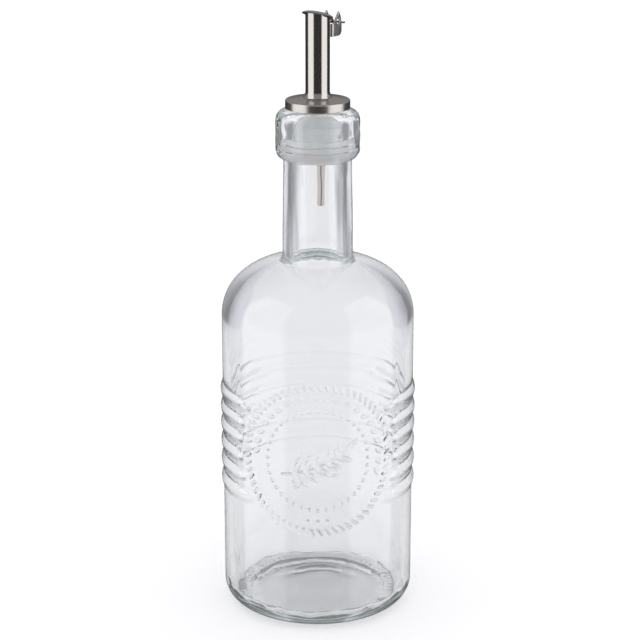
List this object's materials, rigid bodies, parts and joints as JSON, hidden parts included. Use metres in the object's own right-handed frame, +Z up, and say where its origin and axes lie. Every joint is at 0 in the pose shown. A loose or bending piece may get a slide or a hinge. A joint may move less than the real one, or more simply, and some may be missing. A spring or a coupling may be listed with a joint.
{
  "type": "glass oil bottle",
  "caption": "Clear glass table bottle for oil or vinegar with a ribbed body, a round front panel and a stoppered steel spout closed by a hinged flap.",
  "frame": {"origin": "centre of the bottle's base, on the surface it stands on", "axes": "+Z up along the bottle's axis; -Y out of the round front panel; the pourer's hinge lies 54 degrees from +X towards +Y"},
  "size_m": [0.0778, 0.0778, 0.2403],
  "materials": {
    "clear_glass": "pressed soda-lime glass, fire polished",
    "milky_plastic": "moulded translucent polyethylene",
    "brushed_cap_steel": "spun and brushed stainless steel",
    "polished_steel": "polished stainless steel"
  },
  "bodies": {
    "bottle": {"glass_bottle": "clear_glass"},
    "pourer": {"stopper_plug": "milky_plastic", "pourer_cap": "brushed_cap_steel", "spout_tube": "polished_steel", "vent_tube": "polished_steel", "hinge_bracket": "polished_steel"},
    "flap": {"flap_lid": "polished_steel", "hinge_pin": "polished_steel"}
  },
  "joints": [
    {"name": "pourer_lift", "type": "slide", "parent": "bottle", "child": "pourer", "axis": [0, 0, 1], "range_m": [0, 0.045]},
    {"name": "flap_hinge", "type": "hinge", "parent": "pourer", "child": "flap", "pos_m": [0.00523, 0.0072, 0.23475], "axis": [-0.809, 0.5878, 0], "range_deg": [0, 60]}
  ]
}
